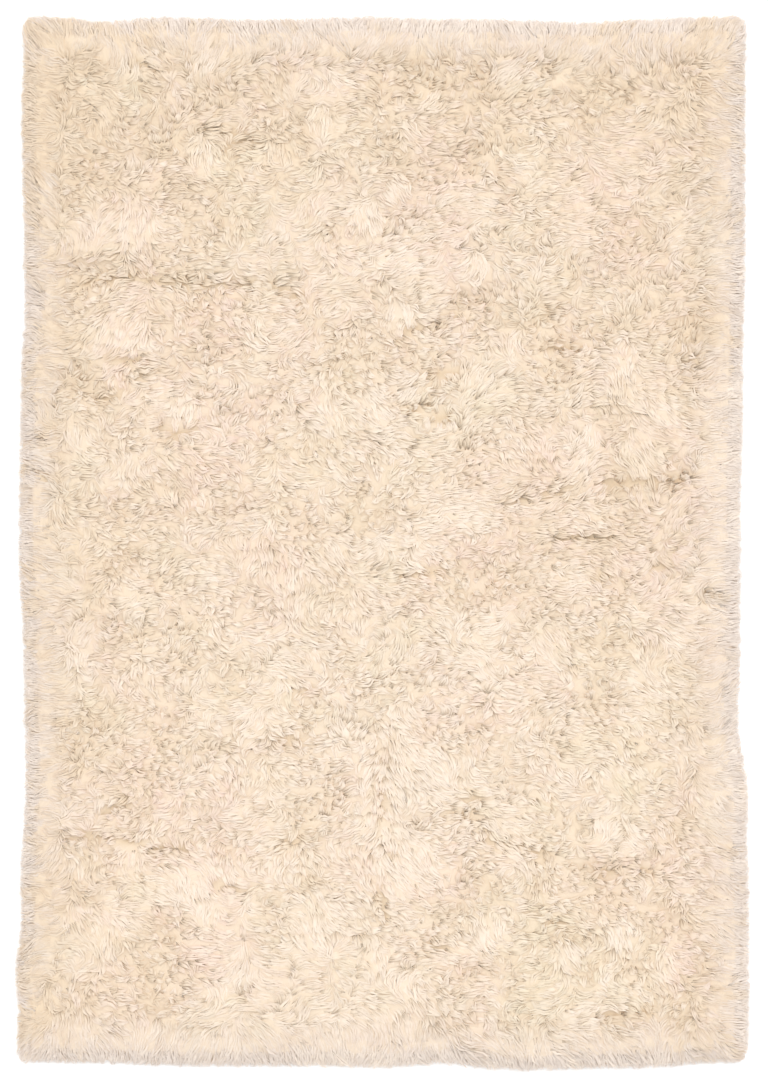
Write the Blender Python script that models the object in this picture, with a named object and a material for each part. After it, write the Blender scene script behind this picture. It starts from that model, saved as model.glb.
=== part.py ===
"""A long-pile wool shag rug lying flat, in metres, +Z up.

The rug is one piece: a woven ground with its pile knotted in, so it is one solid that reaches as far
as the pile tips do. It lies along Y, centred on the origin, with its flat underside at z = 0.
"""

import math
from collections import namedtuple

import bmesh
import bpy
from mathutils import Vector, noise

# Driving sizes.
LENGTH = 1.86  # pile tip to pile tip, along Y
WIDTH = 1.296  # pile tip to pile tip, along X
LOFT = 0.043  # height of the pile over most of the rug
LIP = 0.009  # height of the pile tips that lie on the floor round the edge
ROLL = 0.085  # how far in from the edge the pile comes down to the lip
UNDERCUT = 0.005  # how far the underside stays in from the lip

# How far the rounding reaches at each corner.
HEAD_LEFT_CORNER = 0.014
HEAD_RIGHT_CORNER = 0.017
FOOT_LEFT_CORNER = 0.010
FOOT_RIGHT_CORNER = 0.026

# The tufts stand a little higher and lower in patches this far apart.
PATCH_SIZE = 0.13
PATCH_RISE = 0.0035

# Rows of the surface along X and along Y, and how much closer they stand near the edges.
ROWS_ACROSS = 44
ROWS_ALONG = 62
EDGE_CROWDING = 0.55

# Each edge wavers: short is how far the pile stops short of the overall size, and along is the
# distance from the middle of that edge, towards +Y or +X.
Edge = namedtuple("Edge", "along short")
LEFT_EDGE = [
    Edge(-0.91, 0.004),
    Edge(-0.83, 0.004),
    Edge(-0.77, 0.000),
    Edge(-0.68, 0.011),
    Edge(-0.60, 0.009),
    Edge(-0.49, 0.016),
    Edge(-0.39, 0.018),
    Edge(-0.19, 0.014),
    Edge(-0.03, 0.006),
    Edge(0.16, 0.008),
    Edge(0.30, 0.010),
    Edge(0.43, 0.018),
    Edge(0.50, 0.014),
    Edge(0.55, 0.017),
    Edge(0.63, 0.013),
    Edge(0.72, 0.011),
    Edge(0.90, 0.015),
]
RIGHT_EDGE = [
    Edge(-0.91, 0.003),
    Edge(-0.88, 0.000),
    Edge(-0.62, 0.000),
    Edge(-0.54, 0.004),
    Edge(-0.48, 0.000),
    Edge(-0.41, 0.006),
    Edge(-0.34, 0.019),
    Edge(-0.18, 0.015),
    Edge(0.05, 0.015),
    Edge(0.22, 0.011),
    Edge(0.50, 0.007),
    Edge(0.90, 0.006),
]
HEAD_EDGE = [
    Edge(-0.60, 0.000),
    Edge(-0.51, 0.009),
    Edge(-0.41, 0.000),
    Edge(-0.24, 0.005),
    Edge(-0.04, 0.001),
    Edge(0.15, 0.004),
    Edge(0.29, 0.007),
    Edge(0.37, 0.010),
    Edge(0.45, 0.005),
    Edge(0.58, 0.000),
]
FOOT_EDGE = [
    Edge(-0.60, 0.014),
    Edge(-0.52, 0.013),
    Edge(-0.33, 0.007),
    Edge(-0.13, 0.008),
    Edge(0.01, 0.005),
    Edge(0.11, 0.013),
    Edge(0.20, 0.002),
    Edge(0.27, 0.000),
    Edge(0.40, 0.004),
    Edge(0.50, 0.006),
    Edge(0.59, 0.014),
]

# Fold lines and partings, where the pile falls open: from one end to the other, how deep the trough
# is, and how far it reaches to each side.
Crease = namedtuple("Crease", "x0 y0 x1 y1 depth reach")
CREASES = [
    Crease(-0.53, 0.475, -0.14, 0.448, 0.0080, 0.026),
    Crease(-0.47, 0.325, -0.38, 0.318, 0.0045, 0.020),
    Crease(-0.39, 0.196, -0.27, 0.198, 0.0045, 0.020),
    Crease(-0.56, -0.518, -0.34, -0.538, 0.0075, 0.026),
    Crease(-0.34, -0.538, -0.22, -0.528, 0.0040, 0.024),
    Crease(0.01, 0.450, 0.00, -0.080, 0.0040, 0.030),
    Crease(0.00, -0.080, 0.02, -0.540, 0.0050, 0.030),
    Crease(0.02, -0.540, 0.01, -0.800, 0.0030, 0.030),
    Crease(0.49, -0.160, 0.49, -0.340, 0.0040, 0.030),
]


def eased(share):
    """Goes from 0 to 1 with a level start and end."""
    return share * share * (3 - 2 * share)


def short_at(edge, along):
    """How far this edge stops short at a place along it, eased from row to row."""
    for before, after in zip(edge, edge[1:]):
        if along <= after.along:
            share = (along - before.along) / (after.along - before.along)
            return before.short + (after.short - before.short) * eased(max(share, 0.0))
    return edge[-1].short


def crowded(share):
    """Moves a row, from -1 to 1 across the rug, so that the rows stand closer near the edges."""
    return (1 - EDGE_CROWDING) * share + EDGE_CROWDING * math.sin(share * math.pi / 2)


def between(low, high, share):
    """The place at a share from -1 to 1 between two edges."""
    return low + (high - low) * (share + 1) / 2


def rounded(point):
    """Draws a point near a corner in, so that the square corner becomes an arc."""
    if point.y > 0:
        corner = HEAD_LEFT_CORNER if point.x < 0 else HEAD_RIGHT_CORNER
    else:
        corner = FOOT_LEFT_CORNER if point.x < 0 else FOOT_RIGHT_CORNER
    past_x = abs(point.x) - (WIDTH / 2 - corner)
    past_y = abs(point.y) - (LENGTH / 2 - corner)
    if past_x <= 0 or past_y <= 0:
        return point
    a, b = past_x / corner, past_y / corner
    x = abs(point.x) - past_x * (1 - math.sqrt(1 - b * b / 2))
    y = abs(point.y) - past_y * (1 - math.sqrt(1 - a * a / 2))
    return Vector((math.copysign(x, point.x), math.copysign(y, point.y)))


def plan(across, along):
    """Where a point of the surface lies, from its shares across and along the rug."""
    flat = rounded(Vector((across * WIDTH / 2, along * LENGTH / 2)))
    left = short_at(LEFT_EDGE, flat.y)
    right = short_at(RIGHT_EDGE, flat.y)
    foot = short_at(FOOT_EDGE, flat.x)
    head = short_at(HEAD_EDGE, flat.x)
    x = between(left - WIDTH / 2, WIDTH / 2 - right, flat.x / (WIDTH / 2))
    y = between(foot - LENGTH / 2, LENGTH / 2 - head, flat.y / (LENGTH / 2))
    return Vector((x, y))


def roll(inset):
    """The share of the full loft this far in from an edge: a quarter of an ellipse."""
    left = max(1 - inset / ROLL, 0.0)
    return math.sqrt(1 - left * left)


def trough(crease, point):
    """How much lower the pile lies for this crease."""
    start = Vector((crease.x0, crease.y0))
    run = Vector((crease.x1, crease.y1)) - start
    share = min(max((point - start).dot(run) / run.length_squared, 0.0), 1.0)
    away = (point - start - run * share).length / crease.reach
    return crease.depth * math.exp(-away * away)


def pile_height(across, along, point):
    """Height of the pile: the roll down to the lip, less the creases, with uneven patches."""
    side_inset = (1 - abs(across)) * WIDTH / 2
    end_inset = (1 - abs(along)) * LENGTH / 2
    patch = noise.noise(Vector((point.x, point.y, 0)) / PATCH_SIZE)
    top = LOFT + PATCH_RISE * patch - sum(trough(crease, point) for crease in CREASES)
    return LIP + (top - LIP) * roll(side_inset) * roll(end_inset)


def wool():
    """Undyed ivory wool."""
    material = bpy.data.materials.new("ivory_wool")
    material.use_nodes = True
    shader = material.node_tree.nodes["Principled BSDF"]
    shader.inputs["Base Color"].default_value = (0.84, 0.71, 0.56, 1)
    shader.inputs["Roughness"].default_value = 0.9
    shader.inputs["Metallic"].default_value = 0.0
    return material


def rug():
    """The surface is a grid laid to the outline. Its rim turns in under the lip to a flat base."""
    bm = bmesh.new()
    bmesh.ops.create_grid(bm, x_segments=ROWS_ACROSS, y_segments=ROWS_ALONG, size=1)
    for vertex in bm.verts:
        across, along = crowded(vertex.co.x), crowded(vertex.co.y)
        point = plan(across, along)
        vertex.co = (point.x, point.y, pile_height(across, along, point))

    rim = [edge for edge in bm.edges if edge.is_boundary]
    under = bmesh.ops.extrude_edge_only(bm, edges=rim)["geom"]
    for vertex in (item for item in under if isinstance(item, bmesh.types.BMVert)):
        inward = Vector((vertex.co.x / WIDTH, vertex.co.y / LENGTH)) * 2
        vertex.co.x -= UNDERCUT * inward.x
        vertex.co.y -= UNDERCUT * inward.y
        vertex.co.z = 0
    bmesh.ops.contextual_create(bm, geom=[e for e in under if isinstance(e, bmesh.types.BMEdge)])
    bmesh.ops.recalc_face_normals(bm, faces=bm.faces)

    mesh = bpy.data.meshes.new("rug")
    bm.to_mesh(mesh)
    bm.free()
    mesh.shade_smooth()
    mesh.set_sharp_from_angle(angle=math.radians(50))
    mesh.materials.append(wool())
    bpy.context.scene.collection.objects.link(bpy.data.objects.new("rug", mesh))


for old in list(bpy.data.objects):
    bpy.data.objects.remove(old)
rug()
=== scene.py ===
import math
from collections import namedtuple

import bmesh
import bpy
import numpy as np
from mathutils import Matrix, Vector
from mathutils.bvhtree import BVHTree


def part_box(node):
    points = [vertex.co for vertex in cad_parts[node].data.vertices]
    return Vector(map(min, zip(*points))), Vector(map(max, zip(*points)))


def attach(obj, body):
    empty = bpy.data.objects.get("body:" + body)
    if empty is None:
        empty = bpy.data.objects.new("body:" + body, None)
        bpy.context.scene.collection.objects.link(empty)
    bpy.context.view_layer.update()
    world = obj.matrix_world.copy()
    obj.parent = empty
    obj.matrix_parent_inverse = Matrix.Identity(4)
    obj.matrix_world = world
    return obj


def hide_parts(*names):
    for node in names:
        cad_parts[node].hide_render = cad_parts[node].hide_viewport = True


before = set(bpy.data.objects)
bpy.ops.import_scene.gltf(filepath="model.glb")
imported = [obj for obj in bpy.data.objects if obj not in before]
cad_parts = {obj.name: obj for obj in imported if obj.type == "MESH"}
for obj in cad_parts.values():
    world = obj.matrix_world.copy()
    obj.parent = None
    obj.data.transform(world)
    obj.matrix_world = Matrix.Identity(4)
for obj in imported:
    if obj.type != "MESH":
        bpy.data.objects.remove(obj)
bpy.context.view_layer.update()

# ---------------------------------------------------------------------------------------------------
# The ground cloth: a plain weave of thick undyed wool that the pile is knotted into. It lies flat on
# the floor and stops short of the pile tips all round, so that from above it never shows.
# ---------------------------------------------------------------------------------------------------
PILE_PAST_SIDE = 0.046  # how far the pile reaches past the cloth
PILE_PAST_END = 0.040
CLOTH_THICK = 0.0022
CLOTH_ROWS = (30, 44)
YARN_PITCH = 0.0042
YARN_RISE = 0.0012
YARN_WAVER = 60  # how closely the yarns' unevenness repeats, per metre
# The weave's hollows in painted shade, the yarns' tops lighter.
YARN_SHADE = (0.40, 0.31, 0.20, 1)
YARN_TOP = (0.72, 0.62, 0.46, 1)
LIP_HEIGHT = 0.0088  # the height at which the outline is read
STATIONS = 240  # how many places it is read at along each side
CORNER_SPAN = 0.045  # the outline isn't read this near to a corner
SHARP_ANGLE = 50  # edges sharper than this, in degrees, stay crisp

low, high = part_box("rug")
solid = BVHTree.FromPolygons(
    [v.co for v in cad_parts["rug"].data.vertices],
    [p.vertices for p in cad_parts["rug"].data.polygons],
)


def edge_profile(start, step, toward, axis):
    """Where the lying rug begins, looking in from one side, at even stations along that side."""
    found = []
    for k in range(STATIONS):
        hit = solid.ray_cast(start + step * (k + 0.5) / STATIONS, toward)[0]
        found.append(hit[axis] if hit else np.nan)
    found = np.array(found)
    known = ~np.isnan(found)
    places = np.arange(STATIONS)
    return np.interp(places, places[known], found[known])


along_x = Vector((high.x - low.x, 0, 0))
along_y = Vector((0, high.y - low.y, 0))
corner = Vector((low.x, low.y, LIP_HEIGHT))
left_edge = edge_profile(corner - Vector((1, 0, 0)), along_y, Vector((1, 0, 0)), 0)
right_edge = edge_profile(corner + along_x + Vector((1, 0, 0)), along_y, Vector((-1, 0, 0)), 0)
foot_edge = edge_profile(corner - Vector((0, 1, 0)), along_x, Vector((0, 1, 0)), 1)
head_edge = edge_profile(corner + along_y + Vector((0, 1, 0)), along_x, Vector((0, -1, 0)), 1)


def edges_at(x, y):
    """The left, right, foot and head edges of the rug, abreast of these places."""
    at_y = np.clip(y, low.y + CORNER_SPAN, high.y - CORNER_SPAN)
    at_x = np.clip(x, low.x + CORNER_SPAN, high.x - CORNER_SPAN)
    at_y = (at_y - low.y) / (high.y - low.y) * STATIONS - 0.5
    at_x = (at_x - low.x) / (high.x - low.x) * STATIONS - 0.5
    stations = np.arange(STATIONS)
    return (
        np.interp(at_y, stations, left_edge),
        np.interp(at_y, stations, right_edge),
        np.interp(at_x, stations, foot_edge),
        np.interp(at_x, stations, head_edge),
    )


def spread(across, along, side, end):
    """Places from shares 0 to 1 across and along the rug, this far in from its sides and ends."""
    x = low.x + (high.x - low.x) * across
    y = low.y + (high.y - low.y) * along
    left, right, foot, head = edges_at(x, y)
    x = left + side + (right - left - 2 * side) * across
    y = foot + end + (head - foot - 2 * end) * along
    return x, y


def new_piece(name, mesh, material):
    """Links a finished mesh with its material as a piece that rides with the rug."""
    mesh.materials.append(material)
    piece = bpy.data.objects.new(name, mesh)
    bpy.context.scene.collection.objects.link(piece)
    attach(piece, "root")
    return piece


def finished_mesh(name, bm):
    """A smooth-shaded mesh from a bmesh whose faces are turned outwards."""
    bmesh.ops.recalc_face_normals(bm, faces=bm.faces)
    mesh = bpy.data.meshes.new(name)
    bm.to_mesh(mesh)
    bm.free()
    mesh.shade_smooth()
    mesh.set_sharp_from_angle(angle=math.radians(SHARP_ANGLE))
    return mesh


def set_sockets(tree, node, sockets):
    """Gives sockets of a node their values, or links from other nodes."""
    for name, value in sockets.items():
        if isinstance(value, bpy.types.NodeSocket):
            tree.links.new(value, node.inputs[name])
        else:
            node.inputs[name].default_value = value


def add_node(tree, kind, sockets=None, **settings):
    """A new shader node with these settings, and with values or links for its sockets."""
    node = tree.nodes.new("ShaderNode" + kind)
    for name, value in settings.items():
        setattr(node, name, value)
    set_sockets(tree, node, sockets or {})
    return node


def add_math(tree, operation, first, second=0.0):
    """A Math node between two sockets or numbers."""
    return add_node(tree, "Math", {0: first, 1: second}, operation=operation).outputs[0]


def new_material(name, roughness):
    """A material, its node tree and its Principled shader."""
    material = bpy.data.materials.new(name)
    material.use_nodes = True
    shader = material.node_tree.nodes["Principled BSDF"]
    shader.inputs["Roughness"].default_value = roughness
    return material, material.node_tree, shader


def woven_wool():
    """Thick and thin yarns crossing over and under, a little fuzzy and uneven."""
    material, tree, shader = new_material("woven_ground", roughness=0.95)
    place = add_node(tree, "TexCoord").outputs["Object"]
    uneven = add_node(tree, "TexNoise", {"Scale": YARN_WAVER, "Vector": place})
    split = add_node(tree, "SeparateXYZ", {0: place})
    waves = []
    for axis in (0, 1):
        turns = add_math(tree, "MULTIPLY", split.outputs[axis], math.pi / YARN_PITCH)
        wobbly = add_math(tree, "ADD", turns, uneven.outputs["Fac"])
        waves.append(add_math(tree, "SINE", wobbly))
    height = add_math(tree, "ABSOLUTE", add_math(tree, "MULTIPLY", *waves))
    # Painted shade in the hollows of the weave, lighter on the yarns' tops.
    ramp = add_node(tree, "ValToRGB", {0: height})
    ramp.color_ramp.elements[0].color = YARN_SHADE
    ramp.color_ramp.elements[1].color = YARN_TOP
    bump = add_node(tree, "Bump", {"Distance": YARN_RISE, "Height": height})
    looks = {"Base Color": ramp.outputs["Color"], "Normal": bump.outputs["Normal"]}
    set_sockets(tree, shader, looks)
    return material


cloth = bmesh.new()
bmesh.ops.create_grid(cloth, x_segments=CLOTH_ROWS[0], y_segments=CLOTH_ROWS[1], size=0.5)
for vertex in cloth.verts:
    x, y = spread(vertex.co.x + 0.5, vertex.co.y + 0.5, PILE_PAST_SIDE, PILE_PAST_END)
    vertex.co = (x, y, 0)
bmesh.ops.solidify(cloth, geom=cloth.faces[:], thickness=-CLOTH_THICK)
ground = new_piece("ground_cloth", finished_mesh("ground_cloth", cloth), woven_wool())

# ---------------------------------------------------------------------------------------------------
# The lay of the pile: which way the wool has been combed and shaken, place by place, read off the
# picture. Where no row says otherwise it is combed outwards near the edges and drifts inside.
# ---------------------------------------------------------------------------------------------------
METRES_PER_PIXEL = 0.001763
PICTURE = (768, 1084)
RUG_MIDDLE_PIXEL = (382.2, 543.5)
GRID_STEP = 0.008  # the lay is worked out once on a grid this fine, and read off it after that
EDGE_COMB = 0.060  # how far in from an edge the outward combing is felt
EDGE_PULL = 2.6  # and how strongly, where no row says which way the wool lies
RIM_COMB = 0.015  # this near to an edge the wool turns outwards everywhere
SWIRL_EAST = 0.8  # between the rows the wool swirls more across the rug than along it
SWIRL_NORTH = 0.2
LEAST_SWIRL = 0.1
LOOSE_MOSTLY = 0.30  # how loose the wool is where no row says, from 0 to 1
LOOSE_ROW = 0.8  # how much looser it is at a row of LOOSE
SMOOTH_ROW = -0.9  # and at a row of SMOOTH
COMBED_RIM = 0.045  # no wool is loose this near to an edge
COMBED_FADE = 0.04

# Smooth random patches: how strong they are, how far apart they lie, and their seed.
Patches = namedtuple("Patches", "strength size seed")
PATCH_START = 1.5  # how many patches past the rug their grid begins
SPARE_ROWS = 5  # and how many rows more than cover the rug it has
SWIRLS = [Patches(1.1, 0.12, 11), Patches(0.6, 0.05, 12)]  # in half turns
LOOSE_PATCHES = [Patches(0.5, 0.060, 31)]

# Places read off the picture, as pixels from its top left. Toward is the way the tips lie, in
# degrees turned from the right towards the top, and reach is how far round the place it holds. The
# order of the rows doesn't matter.
Combed = namedtuple("Combed", "x y toward reach")

# Where the wool lies smooth and bright in one long sweep.
SMOOTH = [Combed(*row) for row in [
    (125, 72, 88, 14), (205, 66, 88, 14), (205, 160, -90, 18), (135, 225, -102, 24),
    (90, 240, -88, 16), (325, 82, -60, 14), (320, 127, -96, 14), (412, 136, -62, 14),
    (430, 106, 35, 12), (508, 82, 45, 16), (398, 195, -70, 14), (366, 222, -65, 16),
    (400, 262, 25, 24), (474, 268, -108, 14), (408, 318, -95, 16), (480, 378, 58, 22),
    (510, 348, -90, 14), (624, 372, -95, 14), (666, 412, -50, 14), (584, 436, 56, 14),
    (582, 466, 60, 14), (474, 512, -8, 18), (408, 388, 55, 12), (130, 470, -90, 18),
    (112, 335, -96, 20), (142, 342, -98, 14), (184, 416, -88, 14), (77, 436, -92, 16),
    (376, 414, -60, 16), (330, 424, -87, 14), (85, 634, 62, 14), (76, 664, -90, 14),
    (135, 606, 20, 14), (215, 577, 0, 14), (484, 626, 14, 14), (482, 664, -46, 14),
    (425, 772, -48, 28), (413, 868, -46, 26), (648, 684, -40, 18), (680, 610, -16, 14),
    (668, 632, -30, 14), (316, 930, -84, 22), (188, 882, -82, 18), (210, 912, -112, 14),
    (240, 970, 60, 14), (220, 993, -90, 14), (146, 1038, -116, 16), (666, 970, -68, 14),
    (620, 937, -88, 14), (568, 952, -72, 12), (600, 826, -62, 12), (632, 836, -60, 10),
    (406, 986, -90, 12), (380, 972, -90, 12), (490, 928, -88, 16), (736, 790, 0, 14),
]]

# Where an edge isn't combed straight outwards: along the head, the left, the right and the foot.
EDGE_COMBED = [Combed(*row) for row in [
    (34, 42, 118, 20), (78, 28, 110, 16), (258, 36, 108, 22), (425, 34, 76, 20), (470, 36, 77, 20),
    (566, 34, 76, 20), (655, 36, 60, 16), (685, 36, 65, 18), (720, 36, 63, 20),
    (38, 92, 128, 18), (46, 118, 165, 14), (35, 178, 126, 18), (34, 215, 118, 18),
    (36, 286, 140, 18), (46, 330, 130, 18), (44, 412, 98, 14), (34, 440, 202, 14),
    (38, 470, 162, 18), (36, 505, 168, 16), (42, 562, 150, 20), (62, 600, 165, 20),
    (44, 642, 188, 18), (42, 668, 172, 18), (46, 695, 165, 16), (34, 804, 162, 12),
    (32, 822, 200, 12), (42, 836, 142, 10), (38, 858, 200, 14), (48, 864, 225, 12),
    (36, 938, 206, 16), (28, 961, 214, 12), (30, 1010, 150, 14), (28, 1036, 214, 16),
    (712, 96, -15, 18), (718, 145, -20, 18), (722, 218, 42, 18), (716, 308, -25, 18),
    (712, 376, 45, 14), (738, 428, -20, 12), (730, 510, 22, 18), (716, 692, 40, 14),
    (727, 676, 66, 12), (722, 722, 70, 14), (720, 745, 28, 16), (702, 735, -78, 12),
    (716, 798, -38, 18), (722, 826, -18, 14), (716, 844, -32, 14), (722, 884, -40, 20),
    (724, 930, -43, 20), (724, 1010, -12, 18), (738, 1050, -18, 14),
    (155, 1048, -112, 18), (346, 1042, -78, 18), (400, 1040, -62, 16), (478, 1046, 8, 18),
    (580, 1056, -52, 22), (640, 1054, -48, 24), (684, 1054, -54, 14), (700, 1050, -5, 10),
]]

# Fans and turns of the lay inside, from the head to the foot and from left to right.
INNER_COMBED = [Combed(*row) for row in [
    (92, 66, -10, 16), (160, 72, -35, 16), (278, 84, -70, 20), (362, 84, -15, 18),
    (545, 100, 35, 22), (620, 90, 0, 18), (660, 72, 76, 16), (112, 132, -80, 20),
    (548, 134, -45, 16), (685, 142, -25, 16), (286, 150, -75, 16), (335, 168, -25, 18),
    (424, 166, -3, 20), (165, 186, 18, 20), (490, 200, -16, 24), (572, 182, 12, 24),
    (670, 172, 20, 22), (312, 212, -86, 16), (592, 215, 17, 20), (240, 234, -90, 16),
    (435, 236, 6, 22), (525, 228, 3, 20), (690, 236, 10, 22), (138, 262, -43, 16),
    (335, 252, -32, 18), (650, 260, 30, 20), (185, 281, -4, 30), (205, 294, -90, 16),
    (325, 292, 195, 22), (370, 277, 207, 16), (392, 316, -90, 16), (412, 302, 50, 12),
    (430, 287, 12, 20), (442, 325, 25, 18), (552, 281, 4, 20), (633, 305, 50, 16),
    (176, 318, -50, 16), (556, 315, 0, 16), (690, 309, 35, 16), (236, 337, -50, 16),
    (290, 340, 22, 24), (350, 342, -55, 14), (545, 348, 0, 20), (430, 362, 8, 20),
    (80, 380, 20, 20), (165, 384, 4, 20), (386, 378, -36, 16), (325, 390, -88, 14),
    (580, 390, 43, 18), (675, 390, 0, 20), (240, 402, 50, 20), (430, 404, 34, 16),
    (545, 404, 10, 20), (615, 396, -60, 18), (690, 406, -40, 14), (312, 420, 2, 16),
    (482, 426, 25, 22), (531, 433, -25, 18), (650, 434, -26, 20), (434, 448, 8, 20),
    (476, 469, 40, 18), (506, 461, -60, 14), (185, 474, -54, 20), (350, 466, -30, 26),
    (540, 468, -58, 16), (634, 463, -65, 18), (440, 484, 20, 20), (484, 500, 0, 18),
    (545, 494, 25, 20), (645, 494, -78, 18), (60, 514, -60, 14), (676, 512, 48, 16),
    (130, 532, -4, 22), (430, 520, 18, 20), (450, 540, -15, 16), (570, 538, 0, 24),
    (120, 568, -20, 16), (165, 568, 40, 18), (274, 562, -74, 16), (335, 563, -50, 16),
    (374, 560, 38, 18), (426, 566, -33, 16), (555, 562, 25, 18), (605, 570, -40, 20),
    (180, 584, 16, 20), (236, 586, -10, 18), (297, 612, -90, 18), (422, 600, 4, 22),
    (560, 600, 0, 30), (642, 602, 20, 14), (182, 635, 48, 18), (216, 636, -50, 16),
    (355, 627, -93, 16), (430, 624, -28, 18), (388, 645, 62, 16), (615, 634, 195, 16),
    (645, 648, -88, 14), (556, 645, -68, 20), (302, 672, -22, 20), (372, 670, 46, 18),
    (446, 672, 35, 14), (140, 682, -88, 18), (190, 673, 34, 18), (560, 665, -36, 16),
    (642, 712, -10, 14), (682, 706, -24, 16), (675, 730, -70, 14), (638, 734, -50, 14),
    (118, 720, 28, 22), (330, 712, 62, 16), (360, 728, 58, 16), (397, 724, -56, 16),
    (487, 715, -88, 12), (528, 716, 56, 16), (92, 746, 34, 18), (172, 748, 23, 22),
    (590, 743, 0, 26), (370, 764, 211, 18), (396, 785, -58, 18), (548, 766, -32, 20),
    (236, 780, -74, 22), (332, 776, 48, 18), (625, 782, -50, 24), (330, 803, 30, 24),
    (545, 800, -45, 16), (84, 846, -6, 16), (56, 864, -120, 12), (72, 866, -93, 14),
    (92, 864, -98, 14), (132, 862, -108, 14), (225, 864, -88, 18), (345, 830, 200, 22),
    (290, 864, -100, 20), (375, 862, -95, 14), (498, 836, -50, 20), (530, 845, -20, 24),
    (665, 834, -62, 18), (690, 866, -2, 24), (345, 888, -13, 16), (535, 880, -90, 16),
    (580, 885, 20, 18), (80, 916, -60, 20), (147, 915, -30, 16), (345, 912, -28, 18),
    (424, 912, -10, 26), (574, 912, -26, 18), (606, 912, -30, 18), (112, 940, -90, 20),
    (455, 930, -30, 16), (445, 952, -20, 20), (60, 1000, -40, 16), (112, 1006, -26, 24),
    (300, 1012, 62, 16), (428, 1002, -52, 20), (640, 985, -37, 18), (583, 1016, 36, 16),
    (625, 1014, 2, 26), (128, 1032, -55, 14), (565, 1038, -5, 18),
]]

# The long parting down the middle, on its left and on its right.
PARTING_COMBED = [Combed(*row) for row in [
    (372, 738, -108, 11), (372, 760, -106, 11), (372, 782, -106, 11), (372, 804, -112, 11),
    (372, 838, 215, 11), (371, 880, -86, 12), (370, 912, -88, 12), (371, 945, -90, 12),
    (393, 738, -68, 11), (393, 760, -64, 11), (393, 782, -60, 11), (394, 804, -55, 11),
    (395, 834, -46, 12), (396, 878, -52, 12), (398, 905, -14, 12), (402, 926, 0, 12),
]]

# Where the wool stands in loose curls.
Loose = namedtuple("Loose", "x y reach")
LOOSE = [Loose(*row) for row in [
    (230, 88, 20), (100, 165, 18), (475, 80, 18), (425, 85, 22), (645, 200, 14), (270, 120, 14),
    (480, 165, 20), (545, 62, 16), (655, 115, 18), (690, 85, 16), (630, 100, 14), (585, 120, 12),
    (45, 380, 14), (220, 358, 18), (190, 365, 14), (85, 385, 14), (320, 340, 14), (350, 365, 18),
    (440, 340, 18), (470, 300, 20), (540, 335, 26), (590, 330, 14), (690, 330, 18), (560, 375, 16),
    (670, 470, 16), (620, 485, 12), (440, 415, 14), (325, 455, 16), (290, 500, 18), (240, 500, 16),
    (180, 440, 12), (370, 490, 14), (300, 530, 20), (360, 525, 18), (130, 555, 16), (110, 575, 12),
    (130, 630, 16), (160, 715, 22), (180, 670, 12), (230, 740, 14), (160, 780, 12), (90, 730, 16),
    (60, 735, 12), (470, 720, 16), (430, 725, 14), (470, 590, 22), (510, 590, 16), (620, 590, 16),
    (550, 560, 16), (580, 640, 16), (600, 690, 14), (590, 785, 14), (560, 750, 16), (320, 790, 20),
    (370, 800, 12), (300, 820, 12), (275, 930, 18), (275, 905, 10), (490, 880, 20), (460, 865, 10),
    (110, 870, 10), (95, 895, 12), (165, 975, 22), (170, 930, 18), (590, 870, 14), (615, 880, 16),
    (670, 925, 16), (565, 935, 14), (560, 820, 14), (590, 825, 10), (430, 930, 14), (465, 970, 12),
    (500, 970, 16), (700, 1040, 18), (440, 1035, 12), (680, 1010, 14), (65, 1010, 14),
    (585, 975, 12), (630, 970, 14), (720, 970, 14),
]]

# Lines that no lock crosses, where the pile falls open, each from one end to the other.
Opening = namedtuple("Opening", "x0 y0 x1 y1")
OPENINGS = [Opening(*row) for row in [
    (135, 64, 160, 74), (203, 131, 240, 134), (226, 150, 250, 142), (250, 142, 262, 148),
    (115, 358, 150, 362), (160, 428, 176, 435), (176, 435, 195, 430), (138, 376, 152, 376),
    (103, 398, 125, 394), (20, 447, 45, 438), (25, 465, 50, 478), (85, 283, 130, 279),
    (130, 278, 190, 285), (190, 285, 252, 285), (270, 286, 300, 300), (405, 333, 455, 318),
    (430, 376, 460, 372), (410, 412, 430, 402), (435, 418, 454, 420), (408, 440, 424, 442),
    (545, 348, 575, 349), (547, 310, 560, 310), (685, 360, 700, 365), (515, 501, 565, 490),
    (545, 538, 612, 538), (400, 575, 440, 573), (296, 690, 312, 690), (278, 739, 298, 740),
    (458, 797, 480, 797), (450, 812, 480, 812), (585, 568, 606, 577), (648, 567, 666, 568),
    (70, 835, 120, 835), (120, 837, 155, 847), (155, 847, 188, 847), (216, 882, 240, 890),
    (432, 943, 446, 945), (600, 484, 650, 481), (548, 921, 564, 919), (600, 872, 614, 870),
    (633, 866, 650, 872), (718, 851, 742, 853), (498, 837, 518, 846), (480, 823, 494, 844),
    (105, 812, 130, 800), (280, 843, 300, 839), (520, 844, 545, 856), (700, 592, 726, 599),
    (382, 757, 382, 816), (384, 842, 390, 853), (383, 888, 384, 918), (655, 484, 692, 478),
    (604, 1013, 648, 1010),
]]


def picture_place(x, y):
    """Where a pixel of the picture falls on the rug."""
    return (x - RUG_MIDDLE_PIXEL[0]) * METRES_PER_PIXEL, (RUG_MIDDLE_PIXEL[1] - y) * METRES_PER_PIXEL


grid_x, grid_y = np.meshgrid(
    np.arange(low.x - GRID_STEP, high.x + 2 * GRID_STEP, GRID_STEP),
    np.arange(low.y - GRID_STEP, high.y + 2 * GRID_STEP, GRID_STEP),
    indexing="ij",
)


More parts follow.
